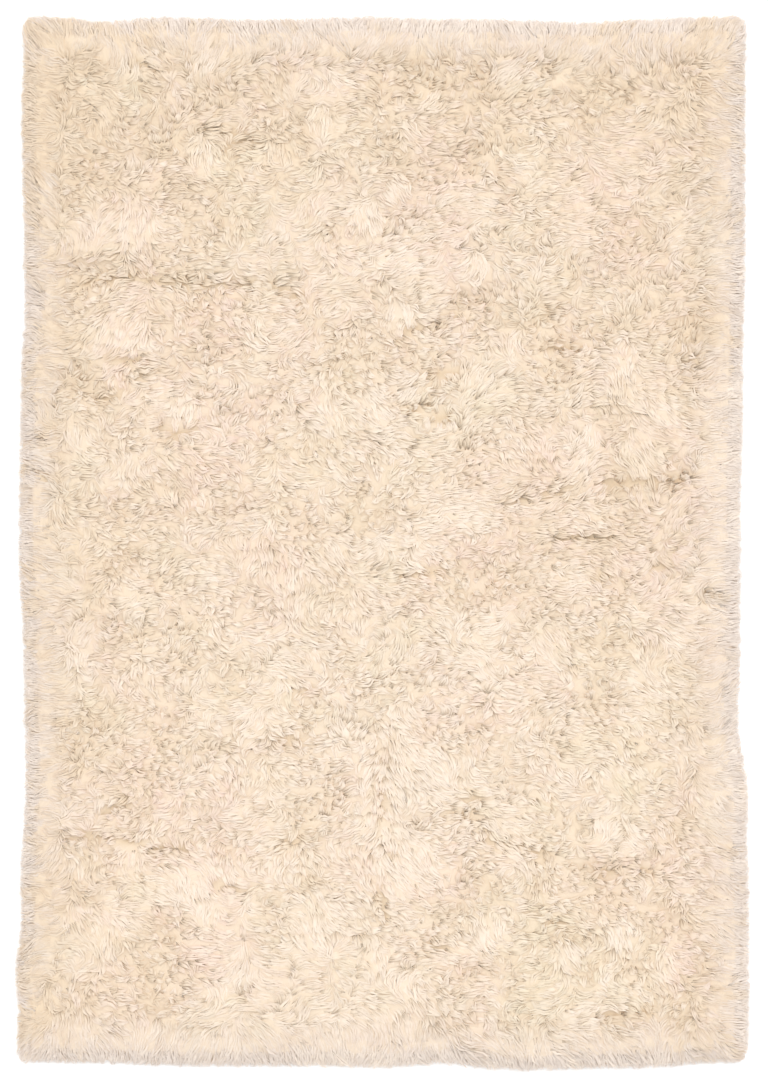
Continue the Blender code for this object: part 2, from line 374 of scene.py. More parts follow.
def read_grid(values, step, start, x, y, ease=lambda share: share):
    """The value at these places, on a grid that starts this many steps before the rug does."""
    last_u, last_v = np.array(values.shape) - 1.001  # just short of the last row each way
    u = np.clip((x - low.x) / step + start, 0, last_u)
    v = np.clip((y - low.y) / step + start, 0, last_v)
    i, j = u.astype(int), v.astype(int)
    a, b = ease(u - i), ease(v - j)
    near = values[i, j] * (1 - a) + values[i + 1, j] * a
    far = values[i, j + 1] * (1 - a) + values[i + 1, j + 1] * a
    return near * (1 - b) + far * b


def off_grid(values, x, y):
    """The value at these places, worked out on the grid of the lay."""
    return read_grid(values, GRID_STEP, 1, x, y)


def drift(x, y, patch, seed):
    """A smooth random value from -1 to 1 at each place, which changes over about this distance."""
    size = [int(side / patch) + SPARE_ROWS for side in (high.x - low.x, high.y - low.y)]
    knots = np.random.default_rng(seed).uniform(-1, 1, size)
    return read_grid(knots, patch, PATCH_START, x, y, lambda a: a * a * (3 - 2 * a))


def patches_at(x, y, rows):
    """The sum of some sets of smooth random patches at these places."""
    return sum(row.strength * drift(x, y, row.size, row.seed) for row in rows)


def nearness(x, y, spot):
    """How near these places are to a spot of the picture, from 0 to 1, over its reach."""
    at_x, at_y = picture_place(spot.x, spot.y)
    return np.exp(-((x - at_x) ** 2 + (y - at_y) ** 2) / (spot.reach * METRES_PER_PIXEL) ** 2)


def insets(x, y):
    """How far inside each of the four edges these places lie: left, right, foot and head."""
    left, right, foot, head = edges_at(x, y)
    return x - left, right - x, y - foot, head - y


def edge_inset(x, y):
    """How far inside the nearest edge these places lie."""
    return np.minimum.reduce(insets(x, y))


def lay(x, y):
    """The way the wool is laid at these places, as a vector across and along the rug."""
    turn = math.pi * patches_at(x, y, SWIRLS)
    left, right, foot, head = (EDGE_PULL * np.exp(-((i / EDGE_COMB) ** 2)) for i in insets(x, y))
    loose_east = SWIRL_EAST * np.cos(turn) + right - left
    loose_north = SWIRL_NORTH * np.sin(turn) + head - foot
    covered, east, north = np.zeros_like(x), np.zeros_like(x), np.zeros_like(x)
    for spot in [*SMOOTH, *EDGE_COMBED, *INNER_COMBED, *PARTING_COMBED]:
        weight = nearness(x, y, spot)
        east += weight * math.cos(math.radians(spot.toward))
        north += weight * math.sin(math.radians(spot.toward))
        covered += weight
    share = np.clip(1 - covered, LEAST_SWIRL, 1)
    left, right, foot, head = (np.exp(-((np.maximum(i, 0) / RIM_COMB) ** 2)) for i in insets(x, y))
    return east + share * loose_east + right - left, north + share * loose_north + head - foot


def looseness_at(x, y):
    """Where the wool stands in loose curls, 1, and where it lies combed smooth, 0."""
    loose = LOOSE_MOSTLY + patches_at(x, y, LOOSE_PATCHES)
    for change, spots in ((LOOSE_ROW, LOOSE), (SMOOTH_ROW, SMOOTH)):
        for spot in spots:
            loose += change * nearness(x, y, spot)
    return np.clip(loose, 0, 1) * np.clip((edge_inset(x, y) - COMBED_RIM) / COMBED_FADE, 0, 1)


lay_east, lay_north = lay(grid_x, grid_y)
lay_length = np.hypot(lay_east, lay_north) + 1e-6
lay_east, lay_north = lay_east / lay_length, lay_north / lay_length
parting = np.gradient(lay_east, GRID_STEP, axis=0) + np.gradient(lay_north, GRID_STEP, axis=1)
looseness_grid = looseness_at(grid_x, grid_y)


def looseness(x, y):
    """Where the wool stands in loose curls, 1, and where it lies combed smooth, 0."""
    return off_grid(looseness_grid, x, y)


# ---------------------------------------------------------------------------------------------------
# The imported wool: the lower part of the pile, where the yarns stand too close together to be told
# apart. It covers the cloth, rolls down past its edge to the floor, and shows between the locks.
# ---------------------------------------------------------------------------------------------------
LOCK_DEPTH = 0.0020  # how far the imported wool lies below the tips
LOOSE_DEPTH = 0.0044  # and how much further under loose curls
PACKED_INSET = 0.006  # how far it stays inside the pile tips
PACKED_ROLL = 0.030  # how far in from there it has risen to its full height
PACKED_ROWS = (120, 170)
PACKED_FOOT = 0.0026
EDGE_CROWDING = 0.45  # how much closer its rows stand near the edges
OPENING_DEPTH = 0.0048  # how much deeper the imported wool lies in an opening
OPENING_REACH = 0.008
RELIEF = 0.0022  # how far the wool sinks where it falls apart and heaps up where it meets
PARTED = 30  # the parting, in radians per metre, at which most of that is reached
RELIEF_PATCHES = [Patches(0.6, 0.045, 52)]  # as a share of the relief
LUMP_RISE = 0.0032
LUMPS = [Patches(1.0, 0.028, 51)]
RELIEF_ABOVE = 0.02  # the relief is whole this high above the lip

# How far the rounding of each corner reaches.
Corners = namedtuple("Corners", "head_left head_right foot_left foot_right")
CORNERS = Corners(0.016, 0.018, 0.013, 0.026)


def height_map():
    """The height of the lying rug over the grid, read off the frame's solid from above."""
    down = Vector((0, 0, -1))
    found = np.zeros(grid_x.shape)
    for place in np.ndindex(found.shape):
        hit = solid.ray_cast(Vector((grid_x[place], grid_y[place], 1)), down)[0]
        found[place] = hit.z if hit else LIP_HEIGHT
    return found


tops = height_map()
relief = RELIEF * (np.tanh(parting / PARTED) + patches_at(grid_x, grid_y, RELIEF_PATCHES))
relief += LUMP_RISE * patches_at(grid_x, grid_y, LUMPS)
tops -= (RELIEF + LUMP_RISE / 2 + relief) * np.clip((tops - LIP_HEIGHT) / RELIEF_ABOVE, 0, 1)


def held_in(x, y, margin):
    """Places drawn in to the outline, less this margin, and how far past it each had reached."""
    left, right, foot, head = insets(x, y)
    x = x + np.maximum(margin - left, 0) - np.maximum(margin - right, 0)
    y = y + np.maximum(margin - foot, 0) - np.maximum(margin - head, 0)
    past = np.maximum(margin - np.minimum.reduce((left, right, foot, head)), 0)
    left, right, foot, head = insets(x, y)
    at_head = np.where(x < 0, CORNERS.head_left, CORNERS.head_right)
    at_foot = np.where(x < 0, CORNERS.foot_left, CORNERS.foot_right)
    rounding = np.where(y > 0, at_head, at_foot)
    into_x = np.maximum(rounding - np.minimum(left, right), 0)
    into_y = np.maximum(rounding - np.minimum(foot, head), 0)
    away = np.hypot(into_x, into_y) + 1e-9
    cut = np.maximum(away - (rounding - margin), 0) * (into_x > 0) * (into_y > 0)
    x = x + cut * into_x / away * np.sign(right - left)
    y = y + cut * into_y / away * np.sign(head - foot)
    return x, y, past + cut


def pile_height(x, y):
    """How high the tips of the pile stand at these places."""
    return off_grid(tops, x, y)


def opening_runs():
    """Each opening in turn: where it starts, and how far it runs across and along the rug."""
    for opening in OPENINGS:
        x0, y0 = picture_place(opening.x0, opening.y0)
        x1, y1 = picture_place(opening.x1, opening.y1)
        yield x0, y0, x1 - x0, y1 - y0


def opening_at(x, y):
    """How near these places are to an opening in the pile, from 0 to 1."""
    near = np.zeros_like(x)
    for x0, y0, run_x, run_y in opening_runs():
        along = np.clip((run_x * (x - x0) + run_y * (y - y0)) / (run_x**2 + run_y**2), 0, 1)
        away = np.hypot(x - x0 - run_x * along, y - y0 - run_y * along)
        near = np.maximum(near, np.exp(-((away / OPENING_REACH) ** 2)))
    return near


def packed_height(x, y):
    """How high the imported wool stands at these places."""
    depth = LOCK_DEPTH + LOOSE_DEPTH * looseness(x, y) + OPENING_DEPTH * opening_at(x, y)
    left = 1 - np.clip((edge_inset(x, y) - PACKED_INSET) / PACKED_ROLL, 0, 1)
    return PACKED_FOOT + (pile_height(x, y) - depth - PACKED_FOOT) * np.sqrt(1 - left * left)


# The wool in painted shade, as it mostly is and in painted full light, where it is pinker and
# greener, greyer in painted shade at the thin rim that lies on the floor, and tan in painted shade
# deep in the pile.
SHADED = (0.800, 0.652, 0.492, 1)
IVORY = (0.876, 0.742, 0.609, 1)
LIT_PALE = (0.914, 0.797, 0.682, 1)
PINKISH = (0.890, 0.712, 0.610, 1)
GREENISH = (0.846, 0.738, 0.566, 1)
RIM_SHADE_GREY = (0.802, 0.702, 0.630, 1)
DEEP_SHADE_TAN = (0.77, 0.61, 0.43, 1)
STREAK = 0.18  # how much lighter and darker the fibres run
TONE_SHARE = 0.6  # how far a tone of 1 goes from one of these colours to the next
FIBRE_BUMP = 0.35
WOOL_SHEEN = {"Sheen Weight": 0.25, "Sheen Roughness": 0.5, "Specular IOR Level": 0.3}
PACKED_FIBRE_RISE = 0.0030
PACKED_SHADE = 0.5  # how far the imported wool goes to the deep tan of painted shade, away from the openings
TUFTS_PER_METRE = 45
TUFT_FIBRES = (35, 280, 35)  # how closely a tuft's fibres lie, along, across and through it

# The tone of the wool, from -1 in painted shade to 1 in painted full light, and its hue, from
# greener to pinker.
TONE_MOSTLY = 0.30
TONE_PATCHES = [Patches(0.35, 0.055, 43), Patches(0.8, 0.025, 44)]
HUE_PATCHES = [Patches(0.65, 0.14, 40), Patches(0.5, 0.05, 41), Patches(0.3, 0.02, 42)]
LOOSE_TONE = -0.55  # how the tone changes in loose curls
SMOOTH_TONE = 1.1  # at a row of SMOOTH
OPENING_TONE = -0.9  # at an opening
EDGE_TONE = 0.5  # and along the very edge
EDGE_TONE_REACH = 0.016
RIM_REACH = 0.075  # how far in the wool still looks like the rim


def wool_tone():
    """Node group: undyed wool, lighter or darker in painted light and shade, paler or yellower,
    greyer in painted shade at the rug's rim and tan in painted shade deep in the pile.
    """
    group = bpy.data.node_groups.new("wool_tone", "ShaderNodeTree")
    sockets = [("Fibre Place", "INPUT", "Vector")]
    sockets += [(name, "INPUT", "Float") for name in ("Tone", "Hue", "Rim", "Depth")]
    sockets += [("Color", "OUTPUT", "Color"), ("Height", "OUTPUT", "Float")]
    for name, in_out, kind in sockets:
        group.interface.new_socket(name=name, in_out=in_out, socket_type="NodeSocket" + kind)
    given = group.nodes.new("NodeGroupInput").outputs

    def blend(factor, first, second):
        mixed = {0: factor, 6: first, 7: second}
        return add_node(group, "Mix", mixed, data_type="RGBA").outputs[2]

    def share_of(name, factor):
        scaled = add_math(group, "MULTIPLY", given[name], factor)
        return add_math(group, "MAXIMUM", scaled, 0.0)

    noise = {"Scale": 1.0, "Detail": 2.0, "Vector": given["Fibre Place"]}
    fibres = add_node(group, "TexNoise", noise).outputs["Fac"]
    colour = blend(share_of("Hue", -1.0), blend(share_of("Hue", 1.0), IVORY, PINKISH), GREENISH)
    # Painted shade greyer at the rim, then painted light and shade from the tone, then tan painted
    # shade deep in the pile.
    colour = blend(given["Rim"], colour, RIM_SHADE_GREY)
    colour = blend(share_of("Tone", TONE_SHARE), colour, LIT_PALE)
    colour = blend(share_of("Tone", -TONE_SHARE), colour, SHADED)
    colour = blend(given["Depth"], colour, DEEP_SHADE_TAN)
    streak = add_math(group, "MULTIPLY", add_math(group, "SUBTRACT", fibres, 0.5), STREAK)
    light = add_math(group, "ADD", streak, 1.0)
    lit = add_node(group, "VectorMath", {0: colour, "Scale": light}, operation="SCALE")
    out = group.nodes.new("NodeGroupOutput")
    set_sockets(group, out, {"Color": lit.outputs[0], "Height": fibres})
    return group


tone_group = wool_tone()


def read_attribute(tree, name):
    """The value of one of a mesh's own attributes."""
    return add_node(tree, "Attribute", attribute_name=name).outputs["Fac"]


def wool_material(name, fibre_place, depth, fibre_rise):
    """Loose or packed wool: the shared tone with a soft sheen and fibres in the bump."""
    material, tree, shader = new_material(name, roughness=0.85)
    given = {part.title(): read_attribute(tree, part) for part in ("tone", "hue", "rim")}
    given.update({"Fibre Place": fibre_place(tree), "Depth": depth(tree)})
    tone = add_node(tree, "Group", given, node_tree=tone_group).outputs
    fibres = {"Strength": FIBRE_BUMP, "Distance": fibre_rise, "Height": tone["Height"]}
    bump = add_node(tree, "Bump", fibres).outputs["Normal"]
    set_sockets(tree, shader, {"Base Color": tone["Color"], "Normal": bump, **WOOL_SHEEN})
    return material


def tuft_fibres(tree):
    """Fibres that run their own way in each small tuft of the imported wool."""
    place = add_node(tree, "TexCoord").outputs["Object"]
    tuft = add_node(tree, "TexVoronoi", {"Scale": TUFTS_PER_METRE, "Vector": place}).outputs
    inside = add_node(tree, "VectorMath", {0: place, 1: tuft["Position"]}, operation="SUBTRACT")
    split = add_node(tree, "SeparateXYZ", {0: tuft["Color"]})
    angle = add_math(tree, "MULTIPLY", split.outputs[0], 2 * math.pi)
    turned = {"Vector": inside.outputs[0], "Angle": angle}
    turned = add_node(tree, "VectorRotate", turned, rotation_type="Z_AXIS").outputs[0]
    return add_node(tree, "Mapping", {"Vector": turned, "Scale": TUFT_FIBRES}).outputs[0]


def set_values(mesh, name, values):
    """Gives a mesh one number per vertex, for its material to read."""
    mesh.attributes.new(name, "FLOAT", "POINT").data.foreach_set("value", values.astype(np.float32))


# Broad pools of painted light and painted shade on the fleece, where the light falls unevenly: the
# middle of each and how far it reaches each way, read off the picture in its pixels, and the change
# of tone there, which was set by averages over large areas.
BroadLight = namedtuple("BroadLight", "x y wide long change")
BROAD_LIGHT = [
    BroadLight(380, 560, 75, 800, 0.45),
    BroadLight(-30, 540, 130, 2000, -1.2),
    BroadLight(790, 540, 115, 2000, -0.6),
    BroadLight(384, 90, 2000, 120, -0.9),
    BroadLight(384, 760, 300, 130, 0.5),
    BroadLight(45, 110, 45, 60, -0.7),
    BroadLight(40, 1015, 40, 40, -0.8),
    BroadLight(55, 905, 50, 30, -0.6),
    BroadLight(690, 335, 40, 50, -0.9),
    BroadLight(630, 490, 90, 14, -0.8),
    BroadLight(600, 548, 80, 22, -0.6),
    BroadLight(715, 460, 22, 110, 0.9),
    BroadLight(700, 1000, 45, 60, -0.4),
]


def rim_at(x, y, reach=RIM_REACH):
    """How much the wool belongs to the thin rim that lies on the floor, from 0 to 1."""
    return np.exp(-((np.maximum(edge_inset(x, y), 0) / reach) ** 2))


def tone_at(x, y):
    """Painted light and shade on the fleece, in patches: lighter where it lies smooth, darker in
    curls.
    """
    tone = TONE_MOSTLY + LOOSE_TONE * looseness(x, y) + patches_at(x, y, TONE_PATCHES)
    tone += SMOOTH_TONE * sum(nearness(x, y, spot) for spot in SMOOTH)
    for part in BROAD_LIGHT:
        at_x, at_y = picture_place(part.x, part.y)
        wide, long = part.wide * METRES_PER_PIXEL, part.long * METRES_PER_PIXEL
        tone += part.change * np.exp(-(((x - at_x) / wide) ** 2) - ((y - at_y) / long) ** 2)
    tone += EDGE_TONE * rim_at(x, y, EDGE_TONE_REACH)
    return tone + OPENING_TONE * opening_at(x, y)


def crowded(share):
    """A row's share across the rug, from 0 to 1, with the rows closer together near the edges."""
    return 0.5 + (1 - EDGE_CROWDING) * share + EDGE_CROWDING / 2 * math.sin(share * math.pi)


packed = bmesh.new()
bmesh.ops.create_grid(packed, x_segments=PACKED_ROWS[0], y_segments=PACKED_ROWS[1], size=0.5)
for vertex in packed.verts:
    x, y = spread(crowded(vertex.co.x), crowded(vertex.co.y), PACKED_INSET, PACKED_INSET)
    x, y, _ = held_in(x, y, PACKED_INSET)
    vertex.co = (x, y, 0)
at = np.array([v.co[:2] for v in packed.verts])
for vertex, height in zip(packed.verts, packed_height(at[:, 0], at[:, 1])):
    vertex.co.z = height
bmesh.ops.contextual_create(packed, geom=[edge for edge in packed.edges if edge.is_boundary])
packed_mesh = finished_mesh("packed_wool", packed)
places = np.array([v.co[:] for v in packed_mesh.vertices])
# Painted light and shade from the tone, and greyer painted shade at the rim.
set_values(packed_mesh, "tone", tone_at(places[:, 0], places[:, 1]))
hues = patches_at(places[:, 0], places[:, 1], HUE_PATCHES)
set_values(packed_mesh, "hue", np.clip(hues, -1, 1))
set_values(packed_mesh, "rim", rim_at(places[:, 0], places[:, 1]))
# Painted shade: the imported wool goes halfway to the deep tan, and all the way in the openings.
deep = PACKED_SHADE + (1 - PACKED_SHADE) * opening_at(places[:, 0], places[:, 1])
set_values(packed_mesh, "depth", deep)
packed_wool = new_piece(
    "packed_wool",
    packed_mesh,
    wool_material(
        "packed_wool", tuft_fibres, lambda tree: read_attribute(tree, "depth"), PACKED_FIBRE_RISE
    ),
)

# ---------------------------------------------------------------------------------------------------
# The locks: soft pointed tips of the pile yarn, each of eight wavy strands that rise out of the
# packed wool, lean over the way it is laid and draw together. They stand as high as the solid.
# ---------------------------------------------------------------------------------------------------
LOCK_SPACING = 0.0150
LOCK_STAGGER = 0.5  # how far every other row is shifted, as a share of the spacing
LOCK_JITTER = 0.35  # how far a lock lies out of its row, as a share of the spacing
FIELD_INSET = 0.027  # how far inside the tips the evenly spaced locks end
BANDS = 10  # the pile is worked in lengthwise bands
PLACES_SEED = 21  # the seed of where the locks lie
BAND_SEED = 100  # and of the locks in the first band
PATH_STEPS = 20
SEEN_MIDDLE = 0.6  # the middle of the part of a lock that shows, as a share of its length
MOST_BEND = 0.9  # how far a lock follows the lay round from its middle, in radians
EARLY_STEP = 7  # a lock that crosses an opening before this step loses its start, not its tip
CUT_TIP = (-1, 1)  # how many steps past the opening a lock is cut off
CUT_START = (1, 3)
LEAST_STEPS = 6  # how much of a lock is always left
TIP_INSET = (-0.0032, 0.0006)  # how far inside the outline a lock is held
TIP_BELOW = 0.0005  # how far a lock stays below the top of the pile
TURN_DOWN = 0.012  # a lock that reaches past the outline turns down to the floor within this
TURNED_DOWN = 0.8  # and this share of its height is gone there
STRANDS_IN_LOCK = 8
STRAND_REACH = 0.039
STRAND_RADIUS = 0.0018
STRAND_FLATNESS = 0.11
RIM_LENGTH = 0.35  # how much longer the locks are near the rim
RIM_SLIMNESS = 0.35  # how much thinner the strands are there
LOOSE_SLIMNESS = 0.20  # and in loose curls
RIM_BARE = 0.65  # how much less shade there is round a strand's start at the very rim
RIM_BARE_REACH = 0.035
RINGS = (0.0, 0.55, 1.0)  # where a strand has its rings, as shares of its length
RING_WIDTH = (0.9, 1.0, 0.0)
RING_RISE = (0.0, 0.95, 0.95)
SUNK = 0.0010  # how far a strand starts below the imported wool
LEAST_HEIGHT = 0.0006  # and how far above the floor it stays
KNOT_RADIUS = 0.0066  # how far a lock's strands stand apart where it starts
KNOT_FLATNESS = 0.12
KNOT_JITTER = 0.2  # how far a strand lies from its even place round the knot, in strands
MEET_EXTRA = 0.4  # how much further some strands draw in towards their lock
MEET_CURVE = 1.2
STRAY = 0.0026  # how far a strand wanders to each side of its way
STRAND_DROP = 0.0008  # how far some strands lie below their lock
STRAND_SPIN = 0.3  # how far they are rolled over, in radians
STRAND_TONE = 0.10  # how much the strands of a lock differ in tone and hue
STRAND_HUE = 0.15
MOST_TONE = 1.5
START_SHADE = 2.0  # how quickly a strand comes out of the shade, as a power
STRAND_FIBRE_RISE = 0.0006
STRAND_SHARP_ANGLE = 100
CELL_ROWS = 28  # rows of strands on the flat map that each band wears
CELL_SIDE = 0.08  # the empty share of a strand's cell at each side
CELL_END = 0.03  # and at each end
CAP_CORNERS = (0.1, 0.5, 0.9)  # where the corners of a strand's cap lie across its cell
CELL_FIBRES = 2.4  # how many fibres show across a strand's cell
FLAT_MAP = "OFBake"

# The closer locks round the edge.
RimRow = namedtuple("RimRow", "inset spacing")
RIM_ROWS = [RimRow(0.021, 0.0120), RimRow(0.013, 0.0110), RimRow(0.006, 0.0110)]
RIM_JITTER = 0.002
RIM_SHARE = (0.1, 0.9)  # where each lies in its share of the edge

# How uneven the locks are, from the least to the most.
WAVE_SHARE = (0.5, 1.4)
WAVE_TURNS = (0.8, 1.6)
LENGTH_SHARE = (0.8, 1.15)
WIDTH_SHARE = (0.7, 1.3)
STRAY_TURNS = (4, 10)  # in radians
LOOSE_JITTER = 0.12  # how much the locks of one place differ in looseness

# How the locks change from smooth wool to loose curls.
Change = namedtuple("Change", "smooth loose")
SCATTER = Change(0.14, 0.54)  # how far a lock turns out of the lay, in radians
WAVE = Change(0.2, 0.7)  # how far it waves to each side, in radians
HOOK = Change(0.3, 1.2)  # how far its tip curls round, in radians
SHORTENED = Change(1.0, 0.55)  # its length, as a share
LOWERED = Change(0.18, 0.65)  # how far the lowest lie below the rest, as a share
MEETING = Change(0.2, 0.6)  # how far the strands draw together at the tip, as a share
LOCK_TONE = Change(0.3, 0.7)  # how much the locks differ in tone


def changed(change, loose):
    """The value for wool that is this loose."""
    return change.smooth + (change.loose - change.smooth) * loose


def lock_places():
    """Where the locks lie: staggered rows, a little out of line, and closer rows round the rim."""
    rng = np.random.default_rng(PLACES_SEED)
    wide, long = high.x - low.x, high.y - low.y
    columns = int((wide - 2 * FIELD_INSET) / LOCK_SPACING)
    rows = int((long - 2 * FIELD_INSET) / LOCK_SPACING)
    i, j = (index.ravel() for index in np.meshgrid(np.arange(columns), np.arange(rows)))
    shift = (1 - LOCK_STAGGER) / 2 + LOCK_STAGGER * (j % 2)
    across = (i + shift + rng.uniform(-LOCK_JITTER, LOCK_JITTER, i.size)) / columns
    along = (j + 0.5 + rng.uniform(-LOCK_JITTER, LOCK_JITTER, i.size)) / rows
    places = [spread(across, along, FIELD_INSET, FIELD_INSET)]
    for row in RIM_ROWS:
        for count, ends in ((int(wide / row.spacing), True), (int(long / row.spacing), False)):
            share = (np.arange(count) + rng.uniform(*RIM_SHARE, count)) / count
            inset = row.inset + rng.uniform(-RIM_JITTER, RIM_JITTER, count)
            for side in (np.zeros(count), np.ones(count)):
                shares = (share, side) if ends else (side, share)
                places.append(spread(*shares, inset, inset))
    x, y = (np.concatenate(values) for values in zip(*places))
    return x, y, np.clip(((x - low.x) / wide * BANDS).astype(int), 0, BANDS - 1)


def lock_paths(x, y, rng):
    """Each lock's middle line from start to tip, through x, y, its headings and its looseness."""
    count = x.size
    loose = np.clip(looseness(x, y) + LOOSE_JITTER * rng.normal(size=count), 0, 1)
    scatter = rng.normal(size=count) * changed(SCATTER, loose)
    wave = changed(WAVE, loose) * rng.uniform(*WAVE_SHARE, count)
    wave_turns = rng.uniform(*WAVE_TURNS, count)
    wave_start = rng.uniform(0, 2 * math.pi, count)
    hook = rng.normal(size=count) * changed(HOOK, loose)
    reach = STRAND_REACH * rng.uniform(*LENGTH_SHARE, count) * changed(SHORTENED, loose)
    reach *= 1 + RIM_LENGTH * rim_at(x, y)
    xs, ys = np.empty((count, PATH_STEPS + 1)), np.empty((count, PATH_STEPS + 1))
    headings = np.empty((count, PATH_STEPS + 1))
    middle = round(PATH_STEPS * SEEN_MIDDLE)
    first_way = np.arctan2(off_grid(lay_north, x, y), off_grid(lay_east, x, y))
    xs[:, middle], ys[:, middle] = x, y
    for way, steps in ((-1, range(middle - 1, -1, -1)), (1, range(middle, PATH_STEPS))):
        at_x, at_y = x, y
        for k in steps:
            share = (k + 0.5) / PATH_STEPS
            east, north = off_grid(lay_east, at_x, at_y), off_grid(lay_north, at_x, at_y)
            bend = (np.arctan2(north, east) - first_way + math.pi) % (2 * math.pi) - math.pi
            heading = first_way + np.clip(bend, -MOST_BEND, MOST_BEND) + scatter + hook * share**3
            heading += wave * np.sin(wave_turns * share * 2 * math.pi + wave_start)
            at_x = at_x + way * reach / PATH_STEPS * np.cos(heading)
            at_y = at_y + way * reach / PATH_STEPS * np.sin(heading)
            headings[:, k] = heading
            xs[:, k + (way > 0)], ys[:, k + (way > 0)] = at_x, at_y
    headings[:, -1] = headings[:, -2]
    return *kept_off_openings(xs, ys, headings, rng), loose


def kept_off_openings(xs, ys, headings, rng):
    """Shortens the locks that would cross an opening, at whichever end lies past it."""
    count = len(xs)
    first, last = np.zeros(count), np.full(count, float(PATH_STEPS))
    for x0, y0, run_x, run_y in opening_runs():
        side = run_x * (ys - y0) - run_y * (xs - x0)
        along = (run_x * (xs - x0) + run_y * (ys - y0)) / (run_x**2 + run_y**2)
        crosses = (side[:, :-1] * side[:, 1:] < 0) & (along[:, :-1] > 0) & (along[:, :-1] < 1)
        step = np.argmax(crosses, axis=1)
        crossed = crosses.any(axis=1)
        late = crossed & (step >= EARLY_STEP)
        early = crossed & (step < EARLY_STEP)
        last = np.where(late, np.minimum(last, step + rng.uniform(*CUT_TIP, count)), last)
        first = np.where(early, np.maximum(first, step + rng.uniform(*CUT_START, count)), first)
    last = np.maximum(last, np.minimum(first, PATH_STEPS - LEAST_STEPS) + LEAST_STEPS)
    at = first[:, None] + (last - first)[:, None] * np.linspace(0, 1, PATH_STEPS + 1)
    before = np.clip(at.astype(int), 0, PATH_STEPS - 1)
    share = at - before
    return [
        np.take_along_axis(v, before, 1) * (1 - share) + np.take_along_axis(v, before + 1, 1) * share
        for v in (xs, ys, headings)
    ]


def strand_template():
    """One strand, straight and one unit long: a three-sided cone cut into rings."""
    bm = bmesh.new()
    bmesh.ops.create_cone(bm, segments=3, cap_ends=True, radius1=1, radius2=0, depth=1)
    bmesh.ops.translate(bm, verts=bm.verts, vec=(0, 0, 0.5))
    for share in RINGS[1:-1]:
        everything = bm.verts[:] + bm.edges[:] + bm.faces[:]
        bmesh.ops.bisect_plane(bm, geom=everything, plane_co=(0, 0, share), plane_no=(0, 0, 1))
    bmesh.ops.recalc_face_normals(bm, faces=bm.faces)
    bm.verts.index_update()
    ring = np.array([int(np.argmin([abs(v.co.z - share) for share in RINGS])) for v in bm.verts])
    around = np.array([math.atan2(v.co.y, v.co.x) for v in bm.verts])
    faces = [[v.index for v in face.verts] for face in bm.faces]
    bm.free()
    return ring, around, faces


ring, around, faces = strand_template()


def strand_points(xs, ys, headings, loose, rng):
    """Every vertex of every strand: the lock's middle line, moved aside and given its width."""
    picks = np.array([round(share * PATH_STEPS) for share in RINGS])
    shares, width, rise = np.array(RINGS), np.array(RING_WIDTH), np.array(RING_RISE)
    count = len(xs)
    margin = rng.uniform(*TIP_INSET, count)[:, None]
    x, y, past = held_in(xs[:, picks], ys[:, picks], margin)
    heading = headings[:, picks]
    level = (1.0 - changed(LOWERED, loose) * rng.uniform(0, 1, count))[:, None]
    floor = packed_height(x, y) - SUNK
    top = pile_height(x, y) - TIP_BELOW
    z = floor + (top - floor) * level * rise
    z = z * (1 - TURNED_DOWN * np.minimum(past / TURN_DOWN, 1))
    side = np.stack([-np.sin(heading), np.cos(heading), np.zeros_like(heading)], -1)
    middle = np.stack([x, y, z], -1)
    tangent = np.gradient(middle, axis=1)
    tangent /= np.linalg.norm(tangent, axis=-1, keepdims=True)
    up = np.cross(tangent, side)
    slim = 1 - RIM_SLIMNESS * rim_at(x[:, -1], y[:, -1]) - LOOSE_SLIMNESS * loose
    made = []
    for strand in range(STRANDS_IN_LOCK):
        jitter = rng.uniform(-KNOT_JITTER, KNOT_JITTER, count)
        turn = (2 * math.pi * (strand + jitter) / STRANDS_IN_LOCK)[:, None]
        meet = (changed(MEETING, loose) + MEET_EXTRA * rng.uniform(0, 1, count))[:, None]
        apart = KNOT_RADIUS * (1 - meet * shares**MEET_CURVE)
        start = rng.uniform(0, 2 * math.pi, count)[:, None]
        stray = STRAY * np.sin(start + shares * rng.uniform(*STRAY_TURNS, count)[:, None])
        aside = apart * np.cos(turn) + stray * shares
        drop = STRAND_DROP * rng.uniform(0, 1, count)[:, None]
        lift = KNOT_FLATNESS * apart * np.sin(turn) - drop
        centre = middle + side * aside[..., None] + up * lift[..., None]
        radius = STRAND_RADIUS * width * (rng.uniform(*WIDTH_SHARE, count) * slim)[:, None]
        roll = rng.uniform(-STRAND_SPIN, STRAND_SPIN, count)[:, None]
        spin = roll + around[None, :] + math.pi / 2
        at = centre[:, ring]
        at = at + side[:, ring] * (radius[:, ring] * np.cos(spin))[..., None]
        at = at + up[:, ring] * (radius[:, ring] * np.sin(spin) * STRAND_FLATNESS)[..., None]
        at[..., 2] = np.maximum(at[..., 2], LEAST_HEIGHT)
        made.append(at)
    return np.concatenate(made)


